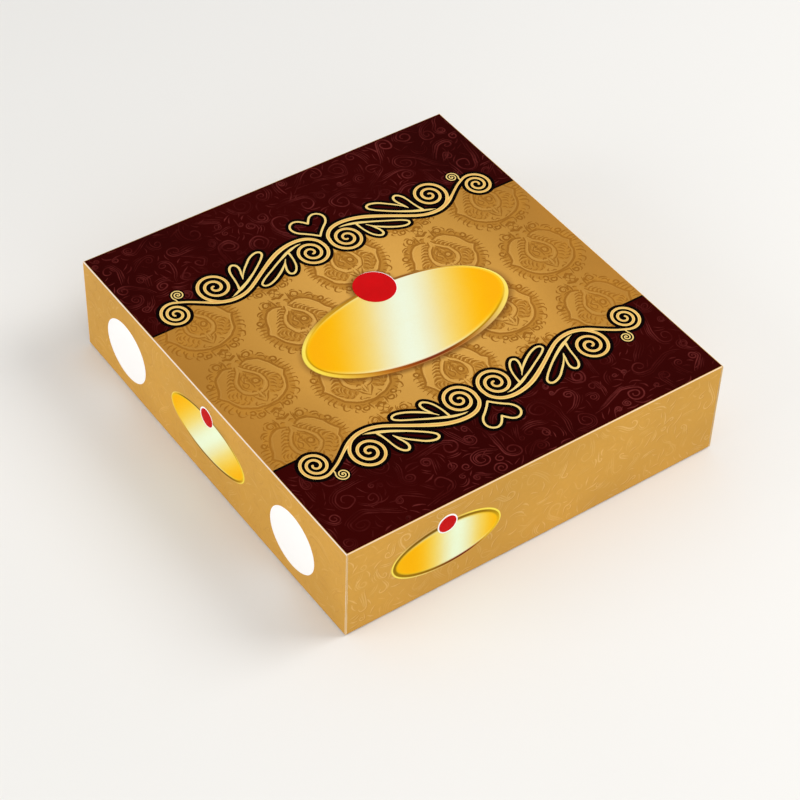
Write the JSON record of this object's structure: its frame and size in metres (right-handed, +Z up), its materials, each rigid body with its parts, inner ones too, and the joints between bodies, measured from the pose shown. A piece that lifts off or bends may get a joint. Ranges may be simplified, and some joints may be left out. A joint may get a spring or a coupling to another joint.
{
  "type": "sweet box",
  "caption": "Shallow paperboard sweet box with a full-depth lift-off lid, a plain lined base tray and a slotted cross divider.",
  "frame": {"origin": "on the table under the middle of the base tray", "axes": "+Z up through the lid's top panel, the way the lid lifts; +X along the front skirt, the shorter side of the plan; +Y from the front skirt to the back skirt, the longer side"},
  "size_m": [0.215, 0.23, 0.055],
  "materials": {
    "maroon_print": "satin",
    "gold_print": "satin",
    "damask_print": "satin",
    "gold_foil": "gloss",
    "black_print": "satin",
    "red_print": "gloss",
    "white_print": "matte",
    "board_white_back": "matte",
    "lining_paper": "satin",
    "foil_paper": "gloss",
    "base_board": "matte",
    "divider_board": "matte"
  },
  "bodies": {
    "base": {"base_floor_panel": "base_board", "base_front_wall": "base_board", "base_back_wall": "base_board", "base_left_wall": "base_board", "base_right_wall": "base_board", "base_front_inner_wall": "base_board", "base_back_inner_wall": "base_board", "base_left_inner_wall": "base_board", "base_right_inner_wall": "base_board", "base_corner_tabs": "base_board", "base_foil_lining": "foil_paper", "divider_long_strip": "divider_board", "divider_cross_strip": "divider_board"},
    "lid": {"lid_top_panel": "maroon_print", "lid_front_skirt": "gold_print", "lid_back_skirt": "gold_print", "lid_left_skirt": "gold_print", "lid_right_skirt": "gold_print", "lid_front_hem": "board_white_back", "lid_back_hem": "board_white_back", "lid_left_hem": "board_white_back", "lid_right_hem": "board_white_back", "lid_corner_tabs": "board_white_back", "lid_lining_sheet": "lining_paper"}
  },
  "joints": [
    {"name": "lid_lift", "type": "slide", "parent": "base", "child": "lid", "axis": [0, 0, 1], "range_m": [0, 0.085]}
  ]
}
